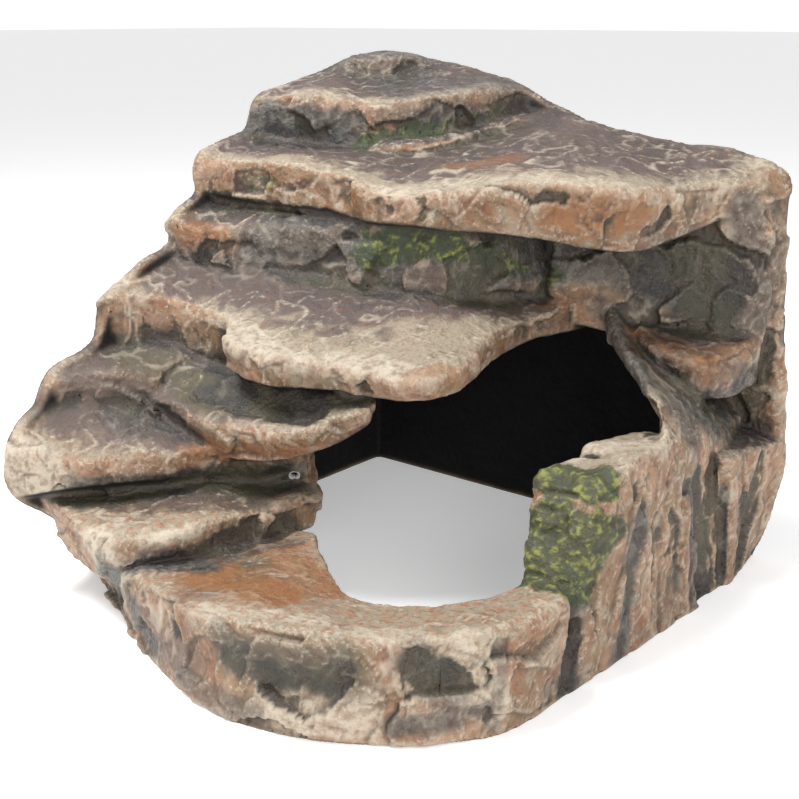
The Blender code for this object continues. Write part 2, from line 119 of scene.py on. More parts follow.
# Vent in the large left ledge, drawn as a short hollow: place (u, v, height) and direction
VENT_PIECE = "big_ledge"
VENT = (0.0945, 0.1730, 0.0558)
VENT_AXIS = (-1.0, 1.0, 0.3)
VENT_RADIUS = 0.0015
VENT_DEPTH = 0.005
VENT_FLARE, VENT_EDGE = 0.0003, 0.0004        # the hollow's edge: how far out it starts, its width
VENT_RIM, VENT_LIFT = 0.0006, 0.0003          # the chipped rim: its width and its height
VENT_PATCH = 0.0045                           # radius of the finely divided patch
VENT_MOUTH = 0.006                            # radius within which points can move
VENT_SHADED = 0.007                           # distance within which the patch is shaded anew
VENT_REACH = 0.012                            # distance along the axis, both ways, that counts as the mouth
VENT_FACING = -0.2                            # a face that looks towards the drill is below this

# Stage
FLOOR_SIZE = 40.0
FLOOR_TONE, FLOOR_ROUGHNESS, FLOOR_GLOW = 0.9, 0.9, 0.34
SKY_HEIGHTS, SKY_STRENGTHS = (0.10, 0.40), (1.05, 0.50)
LIGHT_AIM = (0, 0, 0.1)
LIGHTS = [                                    # name, place, size, power in watts
    ("key", (-0.35, -0.35, 1.2), 0.45, 20.0),
    ("fill", (1.2, -0.6, 0.8), 0.9, 11.0),
]

# The view: turned and raised around a point inside the ornament; angles in degrees, lens in mm
VIEW_AZIMUTH = 39.04
VIEW_ELEVATION = 16.98
VIEW_DISTANCE = 0.600
VIEW_AIM = (-0.0085, 0.0105, 0.0891)
LENS, SENSOR_WIDTH = 56.78, 36.0


# ---------------------------------------------------------------- noise
def hashed(cells, seed):
    """A number from 0 to 1 for each integer cell. The large odd multipliers mix its bits."""
    x, y, z = (cells[..., axis].astype(np.uint32) for axis in range(3))
    mixed = x * np.uint32(374761393) + y * np.uint32(668265263) + z * np.uint32(2147483647)
    mixed = mixed + np.uint32(seed * 1274126177 % 4294967296)
    mixed = (mixed ^ (mixed >> np.uint32(13))) * np.uint32(1103515245)
    mixed = (mixed ^ (mixed >> np.uint32(16))) * np.uint32(2246822519)
    mixed = mixed ^ (mixed >> np.uint32(15))
    return mixed.astype(np.float64) / 4294967295.0


def value_noise(points, seed):
    """Smooth noise from -1 to 1 on a unit lattice."""
    cell = np.floor(points).astype(np.int64)
    local = points - cell
    fade = local * local * local * (local * (local * 6 - 15) + 10)
    total = np.zeros(len(points))
    for corner in np.ndindex(2, 2, 2):
        weight = np.ones(len(points))
        for axis in range(3):
            weight *= fade[:, axis] if corner[axis] else 1 - fade[:, axis]
        total += weight * hashed(cell + np.array(corner), seed)
    return total * 2 - 1


def fractal(points, size, octaves, seed):
    """Layered noise from about -1 to 1, whose largest lumps are size metres apart."""
    total = np.zeros(len(points))
    strength, reach = 1.0, 0.0
    for octave in range(octaves):
        layer = points / size * 2 ** octave + OCTAVE_SHIFT * octave
        total += strength * value_noise(layer, seed + octave)
        reach += strength
        strength *= OCTAVE_GAIN
    return total / reach * NOISE_REACH


def broken_planes(points, size, seed, step=0.25):
    """Height of a surface broken into flat chips: each cell is a plane with its own tilt."""
    scaled = points / size
    cell = np.floor(scaled).astype(np.int64)
    nearest = np.full(len(points), 9.0)
    height = np.zeros(len(points))
    for offset in np.ndindex(3, 3, 3):
        neighbour = cell + np.array(offset) - 1
        draws = [hashed(neighbour, seed + k) for k in range(3)]
        away = scaled - neighbour - np.stack(draws, axis=1)
        distance = np.einsum("ij,ij->i", away, away)
        closer = distance < nearest
        nearest = np.where(closer, distance, nearest)
        tilt = np.stack(draws[::-1], axis=1)[closer] * 2 - 1
        leaning = np.einsum("ij,ij->i", away[closer], tilt)
        height[closer] = step * (draws[0][closer] - 0.5) + leaning
    return height


def smoothstep(low, high, value):
    """0 up to low, 1 from high on, and an even curve between. It falls when high is below low."""
    t = np.clip((value - low) / (high - low), 0, 1)
    return t * t * (3 - 2 * t)


# ---------------------------------------------------------------- the grid
def grid_shape():
    """Cells along each side. The ground and the two walls' outer faces are the grid's own sides."""
    free = np.array([HIGH[0] + MARGIN - LOW[0], HIGH[1] + MARGIN - LOW[1], HIGH[2] + MARGIN])
    return np.ceil(free / CELL).astype(int)


SHAPE = grid_shape()
ORIGIN = np.array([LOW[0], HIGH[1] - SHAPE[1] * CELL, 0.0])


def column_crossings(tree, x, y, start):
    """Heights where a line straight down passes through a closed mesh, top first."""
    crossings = []
    height = start
    for _ in range(MOST_CROSSINGS):
        hit, _, _, _ = tree.ray_cast(Vector((x, y, height)), Vector((0, 0, -1)))
        if hit is None:
            break
        crossings.append(hit.z)
        height = hit.z - RAY_STEP
    return crossings[:len(crossings) // 2 * 2]


def sample_node(node):
    """How full of one CAD solid each cell is, and where the sampled part of the grid starts."""
    tree = BVHTree.FromPolygons([v.co for v in node.data.vertices],
                                [p.vertices for p in node.data.polygons])
    low, high = (np.array(corner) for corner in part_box(node.name))
    pad = int(np.ceil(3 * LABEL_SPREAD / CELL)) + 1
    start = np.maximum(np.floor((low - ORIGIN) / CELL).astype(int) - pad, 0)
    stop = np.minimum(np.ceil((high - ORIGIN) / CELL).astype(int) + pad, SHAPE)
    filled = np.zeros(stop - start, np.float32)
    bases = np.arange(start[2], stop[2]) * CELL
    for i in range(start[0], stop[0]):
        x = ORIGIN[0] + (i + 0.5) * CELL + RAY_SHIFT[0]
        for j in range(start[1], stop[1]):
            y = ORIGIN[1] + (j + 0.5) * CELL + RAY_SHIFT[1]
            if not (low[0] < x < high[0] and low[1] < y < high[1]):
                continue
            crossings = column_crossings(tree, x, y, high[2] + RAY_START)
            for top, bottom in zip(crossings[::2], crossings[1::2]):
                covered = np.minimum(top, bases + CELL) - np.maximum(bottom, bases)
                filled[i - start[0], j - start[1]] += np.clip(covered / CELL, 0, 1)
    return start, stop, filled


def blurred(grid, spread):
    """Three box blurs along each axis, close to a bell curve of that spread in metres."""
    radius = max(int(round((math.sqrt(4 * (spread / CELL) ** 2 + 1) - 1) / 2)), 1)
    width = 2 * radius + 1
    for axis in range(3):
        for _ in range(3):
            pad = [(radius + 1, radius) if k == axis else (0, 0) for k in range(3)]
            total = np.cumsum(np.pad(grid, pad, mode="edge"), axis=axis, dtype=np.float32)
            count = grid.shape[axis]
            ahead = np.take(total, range(width, width + count), axis=axis)
            behind = np.take(total, range(0, count), axis=axis)
            grid = (ahead - behind) / width
    return grid


def sample_all(names):
    """The filled grid of the whole ornament, and the casting that each cell belongs to."""
    filled = np.zeros(SHAPE, np.float32)
    strongest = np.full(SHAPE, LEAST_SHARE, np.float32)
    label = np.zeros(SHAPE, np.int16)
    for number, name in enumerate(names, start=1):
        start, stop, own = sample_node(frame["nodes"][name])
        part = tuple(slice(a, b) for a, b in zip(start, stop))
        filled[part] += own
        reach = blurred(own, LABEL_SPREAD)
        stronger = reach > strongest[part]
        strongest[part][stronger] = reach[stronger]
        label[part][stronger] = number
    return np.minimum(filled, 1.0), label


def grid_value(grid, points):
    """The grid's value at each point, blended between cells."""
    place = np.clip((points - ORIGIN) / CELL - 0.5, 0, np.array(grid.shape) - 1.001)
    cell = np.floor(place).astype(int)
    part = place - cell
    total = np.zeros(len(points))
    for corner in np.ndindex(2, 2, 2):
        weight = np.ones(len(points))
        for axis in range(3):
            weight *= part[:, axis] if corner[axis] else 1 - part[:, axis]
        index = cell + np.array(corner)
        total += weight * grid[index[:, 0], index[:, 1], index[:, 2]]
    return total


# ---------------------------------------------------------------- the skin
class Skin:
    """Faces between cells of different castings, or between a casting and the air."""

    def __init__(self, field, label):
        owner = np.pad(np.where(field > 0.5, label, 0), 1)
        self.size = np.array(owner.shape) + 1
        quads, sides = [], []
        for axis in range(3):
            here = np.moveaxis(owner, axis, 0)[:-1]
            there = np.moveaxis(owner, axis, 0)[1:]
            cells = np.moveaxis(np.array(np.nonzero(here != there)), 0, 1)
            sides.append(np.stack([here[tuple(cells.T)], there[tuple(cells.T)]], axis=1))
            quads.append(self.face_corners(cells, axis))
        corners = np.concatenate(quads)
        self.sides = np.concatenate(sides)
        used, flat = np.unique(corners.ravel(), return_inverse=True)
        self.quads = flat.reshape(-1, 4)
        self.grid_corner = np.stack(np.unravel_index(used, self.size), axis=1) - 1
        to_air = self.sides.min(axis=1) == 0
        outward = self.quads[to_air]
        flipped = self.sides[to_air][:, 0] == 0
        outward[flipped] = outward[flipped][:, ::-1]
        self.outward = outward
        self.is_outer = np.zeros(len(used), bool)
        self.is_outer[outward.ravel()] = True
        self.owner = np.zeros(len(used), int)
        self.owner[outward.ravel()] = np.repeat(self.sides[to_air].max(axis=1), 4)
        self.points = self.placed(field)
        self.outer_edges = self.edges_of(outward)
        self.all_edges = self.edges_of(self.quads)

    def face_corners(self, cells, axis):
        """Ids of the four grid corners around each face, seen from the higher cell."""
        place = np.empty_like(cells)
        place[:, axis] = cells[:, 0] + 1
        others = [k for k in range(3) if k != axis]
        place[:, others[0]] = cells[:, 1]
        place[:, others[1]] = cells[:, 2]
        ring = [(0, 0), (1, 0), (1, 1), (0, 1)]
        if axis == 1:
            ring = ring[::-1]
        ids = []
        for first, second in ring:
            corner = place.copy()
            corner[:, others[0]] += first
            corner[:, others[1]] += second
            ids.append(np.ravel_multi_index(tuple(corner.T), self.size))
        return np.stack(ids, axis=1)

    @staticmethod
    def edges_of(quads):
        """Each edge of the faces once, as a pair of corners."""
        pairs = np.concatenate([quads[:, [k, (k + 1) % 4]] for k in range(4)])
        return np.unique(np.sort(pairs, axis=1), axis=0)

    def placed(self, field):
        """Each corner moves to where the softened surface really passes between its cells."""
        limit = np.array(field.shape) - 1
        around = {}
        for corner in np.ndindex(2, 2, 2):
            index = np.clip(self.grid_corner - 1 + np.array(corner), 0, limit)
            around[corner] = field[index[:, 0], index[:, 1], index[:, 2]] - 0.5
        total = np.zeros((len(self.grid_corner), 3))
        count = np.zeros(len(self.grid_corner))
        for first in around:
            for axis in range(3):
                if first[axis]:
                    continue
                second = tuple(1 if k == axis else first[k] for k in range(3))
                a, b = around[first], around[second]
                crossing = (a > 0) != (b > 0)
                share = np.where(crossing, a / np.where(crossing, a - b, 1), 0)
                spot = np.array(first, float) - 0.5
                total += np.where(crossing[:, None], spot, 0)
                total[:, axis] += np.where(crossing, share, 0)
                count += crossing
        moved = total / np.maximum(count, 1)[:, None]
        return self.held(ORIGIN + (self.grid_corner + moved) * CELL)

    def held(self, points):
        """The ground face and the two walls' outer faces stay flat."""
        points[:, 0] = np.where(self.grid_corner[:, 0] == 0, LOW[0], np.maximum(points[:, 0], LOW[0]))
        back = self.grid_corner[:, 1] == SHAPE[1]
        points[:, 1] = np.where(back, HIGH[1], np.minimum(points[:, 1], HIGH[1]))
        points[:, 2] = np.where(self.grid_corner[:, 2] == 0, 0.0, np.maximum(points[:, 2], 0.0))
        return points

    def on_flat_side(self):
        """The corners on the ground face and on the two walls' outer faces."""
        return ((self.grid_corner[:, 0] == 0) | (self.grid_corner[:, 1] == SHAPE[1])
                | (self.grid_corner[:, 2] == 0))

    def around(self, values, edges):
        """Mean of the values at each corner's neighbours."""
        values = values.reshape(len(values), -1)
        total = np.empty(values.shape)
        ends = edges.ravel()
        starts = edges[:, ::-1].ravel()
        count = np.maximum(np.bincount(ends, minlength=len(values)), 1)
        for column in range(values.shape[1]):
            total[:, column] = np.bincount(ends, values[starts, column], len(values)) / count
        return total

    def smoothed(self, points, rounds, strength=0.6):
        """The points moved towards their neighbours, with the flat sides held."""
        points = points.copy()
        for _ in range(rounds):
            mean = self.around(points, self.outer_edges)
            points[self.is_outer] += strength * (mean - points)[self.is_outer]
            points = self.held(points)
        return points

    def spread(self, values, rounds):
        """The values shared out between neighbours."""
        for _ in range(rounds):
            values = 0.4 * values + 0.6 * self.around(values, self.outer_edges)[:, 0]
        return values

    def settle_inside(self, rounds):
        """Faces between castings are drawn evenly between the edges of the skin."""
        for _ in range(rounds):
            mean = self.around(self.points, self.all_edges)
            self.points[~self.is_outer] = mean[~self.is_outer]
        self.points = self.held(self.points)

    def normals(self):
        """Unit normals at the corners; 0 where no outer face meets the corner."""
        corners = self.points[self.outward]
        across = np.cross(corners[:, 2] - corners[:, 0], corners[:, 3] - corners[:, 1])
        normals = np.zeros_like(self.points)
        for k in range(4):
            for axis in range(3):
                normals[:, axis] += np.bincount(self.outward[:, k], across[:, axis], len(normals))
        length = np.linalg.norm(normals, axis=1)
        return normals / np.maximum(length, TINY)[:, None]

    def standing(self, rounds):
        """How far each point stands out from the smoothed surface: edges above 0, cracks below."""
        away = self.points - self.smoothed(self.points, rounds)
        return np.einsum("ij,ij->i", away, self.normals())


# ---------------------------------------------------------------- places on the rock
def corner_distances(points):
    """u along the rear right wall and v along the rear left wall, from the outer back corner."""
    return points[:, 0] - CORNER[0], CORNER[1] - points[:, 1]


def along(points, start, end):
    """Distance of each point from the line between two places given as u, v, height."""
    u, v = corner_distances(points)
    places = np.stack([u, v, points[:, 2]], axis=1)
    start, end = np.array(start), np.array(end)
    run = end - start
    share = np.clip((places - start) @ run / max(run @ run, TINY), 0, 1)
    return np.linalg.norm(places - start - share[:, None] * run, axis=1)


# Strokes of paint: start, end, radius, strength
MOSS = [
    ((0.105, 0.128, 0.160), (0.137, 0.109, 0.163), 0.009, 0.9),
    ((0.137, 0.109, 0.160), (0.169, 0.063, 0.143), 0.006, 0.6),
    ((0.060, 0.084, 0.203), (0.090, 0.058, 0.209), 0.005, 0.9),
    ((0.090, 0.058, 0.209), (0.106, 0.026, 0.219), 0.004, 0.5),
    ((0.222, 0.152, 0.080), (0.243, 0.150, 0.080), 0.010, 1.0),
    ((0.226, 0.166, 0.060), (0.246, 0.160, 0.062), 0.016, 1.0),
    ((0.228, 0.176, 0.046), (0.250, 0.172, 0.048), 0.011, 1.0),
    ((0.030, 0.134, 0.186), (0.050, 0.130, 0.184), 0.005, 0.5),
]
BLOCK_MOSS = MOSS[4:7]                        # the three strokes on the mossy block
OLIVE = [
    ((0.050, 0.192, 0.095), (0.075, 0.186, 0.092), 0.012, 1.0),
    ((0.080, 0.188, 0.094), (0.128, 0.176, 0.100), 0.010, 0.9),
    ((0.022, 0.205, 0.108), (0.040, 0.194, 0.100), 0.010, 0.7),
    ((0.162, 0.279, 0.030), (0.202, 0.262, 0.030), 0.010, 0.7),
    ((0.120, 0.225, 0.040), (0.132, 0.240, 0.040), 0.008, 0.4),
]
ORANGE = [
    ((0.205, 0.056, 0.116), (0.247, 0.052, 0.108), 0.012, 1.0),
    ((0.225, 0.040, 0.120), (0.250, 0.034, 0.116), 0.009, 0.8),
    ((0.112, 0.246, 0.037), (0.150, 0.244, 0.039), 0.016, 1.0),
    ((0.120, 0.212, 0.038), (0.160, 0.226, 0.037), 0.012, 0.8),
    ((0.063, 0.203, 0.074), (0.115, 0.190, 0.078), 0.005, 0.8),
    ((0.060, 0.212, 0.070), (0.095, 0.192, 0.068), 0.004, 0.8),
    ((0.014, 0.158, 0.162), (0.028, 0.152, 0.158), 0.007, 0.8),
    ((0.188, 0.096, 0.183), (0.200, 0.086, 0.180), 0.009, 0.9),
    ((0.207, 0.077, 0.177), (0.214, 0.070, 0.181), 0.006, 0.7),
    ((0.128, 0.094, 0.198), (0.146, 0.078, 0.198), 0.008, 0.5),
    ((0.156, 0.079, 0.138), (0.173, 0.060, 0.132), 0.008, 0.5),
    ((0.166, 0.172, 0.116), (0.176, 0.148, 0.113), 0.006, 0.6),
    ((0.092, 0.128, 0.181), (0.110, 0.132, 0.180), 0.006, 0.6),
    ((0.128, 0.278, 0.036), (0.136, 0.280, 0.018), 0.005, 0.5),
    ((0.255, 0.108, 0.038), (0.255, 0.092, 0.038), 0.0016, 0.9),
    ((0.255, 0.145, 0.020), (0.255, 0.128, 0.020), 0.0014, 0.9),
    ((0.258, 0.044, 0.033), (0.260, 0.026, 0.036), 0.0014, 0.8),
]
# Slate and charcoal strokes: grey paint in the columns' grooves and on the cap, and painted shade under the
# lips along the risers, at the back of the tops and in the niche
GREY_AND_SHADE = [
    ((0.254, 0.129, 0.062), (0.255, 0.143, 0.004), 0.0060, 1.0),
    ((0.2530, 0.174, 0.045), (0.2530, 0.179, 0.004), 0.0070, 0.9),
    ((0.247, 0.221, 0.036), (0.245, 0.224, 0.006), 0.0035, 0.5),
    ((0.253, 0.077, 0.058), (0.254, 0.068, 0.002), 0.0100, 1.0),
    ((0.255, 0.085, 0.058), (0.256, 0.080, 0.022), 0.0025, 0.9),
    ((0.255, 0.050, 0.050), (0.255, 0.046, 0.004), 0.0030, 0.8),
    ((0.260, 0.030, 0.052), (0.256, 0.028, 0.010), 0.0035, 0.5),
    ((0.160, 0.279, 0.030), (0.176, 0.275, 0.026), 0.010, 0.5),
    ((0.180, 0.274, 0.028), (0.203, 0.263, 0.030), 0.008, 0.5),
    ((0.226, 0.245, 0.034), (0.234, 0.238, 0.022), 0.008, 0.7),
    ((0.222, 0.254, 0.009), (0.245, 0.228, 0.012), 0.005, 0.8),
    ((0.084, 0.262, 0.020), (0.100, 0.272, 0.004), 0.006, 0.9),
    ((0.130, 0.280, 0.010), (0.170, 0.278, 0.004), 0.006, 0.6),
    ((0.205, 0.036, 0.160), (0.226, 0.031, 0.136), 0.024, 1.0),
    ((0.165, 0.066, 0.150), (0.190, 0.046, 0.150), 0.014, 0.9),
    ((0.225, 0.050, 0.092), (0.250, 0.020, 0.086), 0.014, 1.0),
    ((0.190, 0.064, 0.124), (0.208, 0.070, 0.114), 0.007, 0.9),
    ((0.010, 0.101, 0.210), (0.096, 0.048, 0.213), 0.007, 0.9),
    ((0.040, 0.140, 0.160), (0.090, 0.134, 0.158), 0.008, 0.8),
    ((0.035, 0.246, 0.060), (0.090, 0.180, 0.056), 0.005, 0.9),
    ((0.030, 0.222, 0.088), (0.040, 0.216, 0.084), 0.009, 0.5),
    ((0.258, 0.010, 0.175), (0.258, 0.010, 0.140), 0.007, 0.5),
    ((0.045, 0.140, 0.158), (0.110, 0.122, 0.158), 0.013, 0.85),
    ((0.110, 0.122, 0.158), (0.156, 0.075, 0.150), 0.014, 0.9),
    ((0.156, 0.075, 0.160), (0.170, 0.050, 0.150), 0.016, 0.95),
    ((0.010, 0.103, 0.212), (0.050, 0.086, 0.210), 0.010, 1.0),
    ((0.050, 0.086, 0.212), (0.100, 0.040, 0.216), 0.007, 0.9),
    ((0.014, 0.030, 0.243), (0.045, 0.026, 0.242), 0.024, 0.75),
    ((0.060, 0.050, 0.230), (0.095, 0.020, 0.230), 0.018, 0.60),
    ((0.192, 0.056, 0.126), (0.225, 0.082, 0.106), 0.010, 0.95),
    ((0.225, 0.082, 0.106), (0.250, 0.075, 0.084), 0.010, 0.85),
    ((0.215, 0.050, 0.098), (0.248, 0.030, 0.090), 0.020, 1.0),
    ((0.244, 0.024, 0.175), (0.250, 0.020, 0.130), 0.012, 0.8),
    ((0.066, 0.258, 0.026), (0.104, 0.242, 0.035), 0.009, 1.0),
    ((0.236, 0.062, 0.092), (0.250, 0.040, 0.086), 0.014, 1.0),
    ((0.101, 0.242, 0.034), (0.120, 0.200, 0.038), 0.004, 0.7),
    ((0.030, 0.244, 0.056), (0.078, 0.190, 0.054), 0.009, 0.9),
    ((0.078, 0.190, 0.055), (0.106, 0.170, 0.056), 0.007, 0.95),
]
PALE = [
    ((0.060, 0.264, 0.044), (0.070, 0.260, 0.028), 0.011, 1.0),
    ((0.080, 0.252, 0.046), (0.094, 0.232, 0.048), 0.004, 0.9),
    ((0.002, 0.270, 0.072), (0.020, 0.262, 0.062), 0.014, 0.9),
    ((0.185, 0.278, 0.010), (0.212, 0.262, 0.010), 0.010, 0.8),
    ((0.240, 0.234, 0.036), (0.247, 0.226, 0.014), 0.010, 0.9),
    ((0.060, 0.186, 0.124), (0.110, 0.190, 0.119), 0.009, 0.7),
    ((0.128, 0.178, 0.118), (0.168, 0.170, 0.117), 0.007, 0.7),
    ((0.110, 0.130, 0.188), (0.210, 0.076, 0.192), 0.007, 0.6),
    ((0.222, 0.066, 0.190), (0.250, 0.020, 0.190), 0.008, 0.5),
    ((0.223, 0.134, 0.087), (0.250, 0.106, 0.088), 0.008, 0.7),
    ((0.140, 0.274, 0.041), (0.235, 0.240, 0.043), 0.006, 0.6),
]
# Brown strokes: partly brown paint, partly painted shade at the back of the tops, at the foot of the risers
BROWN_AND_SHADE = [
    ((0.008, 0.232, 0.092), (0.046, 0.205, 0.086), 0.018, 1.0),
    ((0.015, 0.165, 0.150), (0.060, 0.150, 0.146), 0.014, 1.0),
    ((0.105, 0.240, 0.034), (0.128, 0.262, 0.038), 0.010, 0.7),
    ((0.030, 0.158, 0.147), (0.130, 0.118, 0.143), 0.015, 0.80),
    ((0.130, 0.118, 0.143), (0.165, 0.070, 0.137), 0.014, 0.85),
    ((0.020, 0.112, 0.204), (0.110, 0.085, 0.200), 0.010, 0.60),
    ((0.008, 0.202, 0.110), (0.035, 0.190, 0.108), 0.013, 0.70),
    ((0.096, 0.270, 0.012), (0.134, 0.280, 0.017), 0.011, 0.75),
    ((0.120, 0.050, 0.210), (0.170, 0.030, 0.206), 0.020, 0.60),
    ((0.060, 0.060, 0.230), (0.020, 0.080, 0.226), 0.008, 0.40),
]
STROKES = {"moss": MOSS, "olive": OLIVE, "orange": ORANGE, "grey": GREY_AND_SHADE, "brown": BROWN_AND_SHADE, "pale": PALE}

# Hollows pressed into the rock: start, end, radius, depth; a negative depth is a bulge
HOLLOWS = [
    ((0.254, 0.129, 0.066), (0.255, 0.143, 0.000), 0.0060, 0.0022),
    ((0.2530, 0.174, 0.048), (0.2530, 0.179, 0.000), 0.0075, 0.0022),
    ((0.247, 0.221, 0.042), (0.245, 0.224, 0.000), 0.0045, 0.0010),
    ((0.253, 0.074, 0.062), (0.254, 0.065, 0.000), 0.0095, 0.0030),
    ((0.255, 0.085, 0.064), (0.256, 0.079, 0.000), 0.0030, 0.0014),
    ((0.255, 0.052, 0.060), (0.255, 0.046, 0.000), 0.0030, 0.0014),
    ((0.260, 0.031, 0.055), (0.256, 0.028, 0.000), 0.0040, 0.0010),
    ((0.255, 0.112, 0.050), (0.255, 0.108, 0.000), 0.0025, 0.0008),
    ((0.255, 0.108, 0.0375), (0.255, 0.090, 0.0375), 0.0016, 0.0008),
    ((0.255, 0.146, 0.0205), (0.255, 0.127, 0.0205), 0.0016, 0.0008),
    ((0.160, 0.280, 0.028), (0.203, 0.264, 0.028), 0.0130, 0.0032),
    ((0.225, 0.246, 0.033), (0.235, 0.237, 0.022), 0.0100, 0.0028),
    ((0.222, 0.254, 0.009), (0.246, 0.226, 0.011), 0.0060, 0.0015),
    ((0.182, 0.276, 0.008), (0.206, 0.263, 0.008), 0.0080, -0.0016),
    ((0.056, 0.192, 0.093), (0.115, 0.184, 0.095), 0.0110, 0.0028),
    ((0.028, 0.222, 0.088), (0.042, 0.212, 0.084), 0.0120, 0.0016),
    ((0.205, 0.036, 0.158), (0.232, 0.028, 0.140), 0.0260, 0.0040),
    ((0.215, 0.050, 0.118), (0.242, 0.046, 0.114), 0.0100, 0.0012),
    ((0.186, 0.098, 0.183), (0.200, 0.086, 0.179), 0.0100, 0.0022),
    ((0.110, 0.132, 0.182), (0.130, 0.130, 0.181), 0.0090, 0.0016),
    ((0.038, 0.090, 0.224), (0.040, 0.090, 0.204), 0.0040, 0.0022),
]


def strokes(points, places):
    """How strongly each point lies under any of the strokes of paint."""
    ragged = 1 + 0.40 * fractal(points, 0.010, 3, SEED + 200)
    best = np.zeros(len(points))
    for start, end, radius, strength in places:
        reach = along(points, start, end) / radius
        best = np.maximum(best, strength * smoothstep(1.45, 0.55, reach / ragged))
    return best


def vein_lines(points):
    """1 along a net of thin raised lines, fading to 0 within about a millimetre."""
    warp = np.stack([fractal(points, 0.012, 2, SEED + 140 + k) for k in range(3)], axis=1) * 0.003
    broad = np.abs(fractal(points + warp, BROAD_VEINS, 3, SEED + 150))
    narrow = np.abs(fractal(points + warp, NARROW_VEINS, 2, SEED + 160))
    return np.maximum(smoothstep(0.10, 0.01, broad), 0.8 * smoothstep(0.12, 0.01, narrow))


# ---------------------------------------------------------------- carving
def plank_area(points):
    """1 where the columns' feet are split into upright planks."""
    u, v = corner_distances(points)
    planks = smoothstep(*PLANK_U, u) * smoothstep(*PLANK_HEIGHT, points[:, 2])
    return planks * smoothstep(*PLANK_V, v)


def broken_faces(points):
    """Heights of the large broken faces, upright ones among the planks, and of the chips."""
    planks = plank_area(points)
    warp = np.stack([fractal(points, WARP_SIZE, 2, SEED + k) for k in range(3)], axis=1) * WARP_REACH
    facets = broken_planes(points * (0.75, 0.75, 1.0) + warp, FACET_SIZE, SEED + 40)
    upright = broken_planes(points * (1, 1, 0.3) + warp * 0.3, PLANK_SIZE, SEED + 50, 0.6)
    chips = broken_planes(points * (1, 1, 0.7) + warp * 0.6, CHIP_SIZE, SEED + 60)
    return facets * (1 - planks) + upright * planks * 0.7, chips


def moss_ridges(points):
    """Wavy ridges on the mossy block, and the furrows between them."""
    wavy = fractal(points * (1, 1, 2.6), MOSS_SIZE, 3, SEED + 130)
    return strokes(points, BLOCK_MOSS) * (1 - np.abs(wavy) * 2.2).clip(-1, 1)


def carve(skin, inside):
    """Broken faces, worn lips, planks and dents. inside is 1 on the hollow cave side."""
    points, normals = skin.points, skin.normals()
    outside = 1 - inside
    top = smoothstep(*FLAT_TOP, normals[:, 2])
    steep = smoothstep(0.85, 0.35, np.abs(normals[:, 2])) * outside
    lip = smoothstep(0.0002, 0.0016, skin.standing(int(BITTEN_LIP / CELL)))
    facets, chips = broken_faces(points)
    middle = fractal(points, MIDDLE_SIZE, 3, SEED + 100)
    fine = fractal(points, FINE_SIZE, 2, SEED + 110)

    push = fractal(points, BROAD_SIZE, 2, SEED + 90) * BROAD_DEPTH * outside
    push += steep * (facets * FACET_DEPTH + chips * CHIP_DEPTH)
    push += top * outside * (middle * TOP_MIDDLE_DEPTH + chips * TOP_CHIP_DEPTH)
    push += (1 - top) * outside * (middle * SIDE_MIDDLE_DEPTH + fine * FINE_DEPTH)
    push += outside * vein_lines(points) * VEIN_HEIGHT
    push += inside * middle * CAVE_MIDDLE_DEPTH
    push += lip * outside * fractal(points, NIBBLE_SIZE, 3, SEED + 120) * NIBBLE_DEPTH
    push += moss_ridges(points) * MOSS_DEPTH
    for start, end, radius, depth in HOLLOWS:
        push -= outside * depth * smoothstep(1.15, 0.25, along(points, start, end) / radius)
    push *= ~skin.on_flat_side()
    skin.points = skin.held(points + normals * push[:, None])
    skin.points = skin.smoothed(skin.points, rounds=1, strength=0.25)


def cave_side(skin, wall_numbers):
    """1 on faces of the hollow: looking back to the corner, down, or the walls' inner faces. The paint
    turns these faces black, as painted shade.
    """
    normals = skin.normals()
    back = (normals[:, 1] - normals[:, 0]) / math.sqrt(2)
    inside = smoothstep(0.25, 0.55, back)
    inside = np.maximum(inside, smoothstep(-0.55, -0.85, normals[:, 2]))
    left, right = (skin.owner == number for number in wall_numbers)
    inside = np.maximum(inside, left * smoothstep(0.55, 0.8, normals[:, 0]))
    within = smoothstep(*CAVE_RIGHT, corner_distances(skin.points)[0])
    inside = np.maximum(inside, right * within * smoothstep(-0.55, -0.8, normals[:, 1]))
    inside *= ~skin.on_flat_side()
    return skin.spread(inside, rounds=3)


def paint_masks(skin, fields, inside):
    """Where each layer of paint goes, from 0 to 1 at each corner of the skin."""
    points, normals = skin.points, skin.normals()
    ridge = skin.standing(rounds=3)
    lip = skin.standing(int(PAINTED_LIP / CELL))
    near, wide, far = (grid_value(fields[name], points + normals * reach)
                       for name, (_, reach) in HOLLOW_SCALES.items())
    flat_side = (skin.grid_corner[:, 0] == 0) | (skin.grid_corner[:, 1] == SHAPE[1])
    return {
        "ridge": smoothstep(0.00001, 0.00014, ridge),
        "crack": smoothstep(-0.00002, -0.00016, ridge),
        "lip": smoothstep(0.00012, 0.00075, lip),
        "shade": smoothstep(0.17, 0.40, near) * 0.55 + smoothstep(0.20, 0.43, wide) * 0.6,
        # How deep in among the rock a point lies; the tops turn from ivory to mauve with it, and to painted
        # shade deepest in
        "depth": smoothstep(0.20, 0.47, far),
        "top": smoothstep(*FLAT_TOP, normals[:, 2]),
        "low": smoothstep(*LOW_TOPS, points[:, 2]),
        **{name: strokes(points, places) for name, places in STROKES.items()},
        "vein": vein_lines(points) * (1 - inside),
        # Painted black further on: painted shade in the cave, in the vent and under the overhangs
        "inside": inside,
        "bare": flat_side.astype(float),
        "chipped": np.zeros(len(points)),
    }


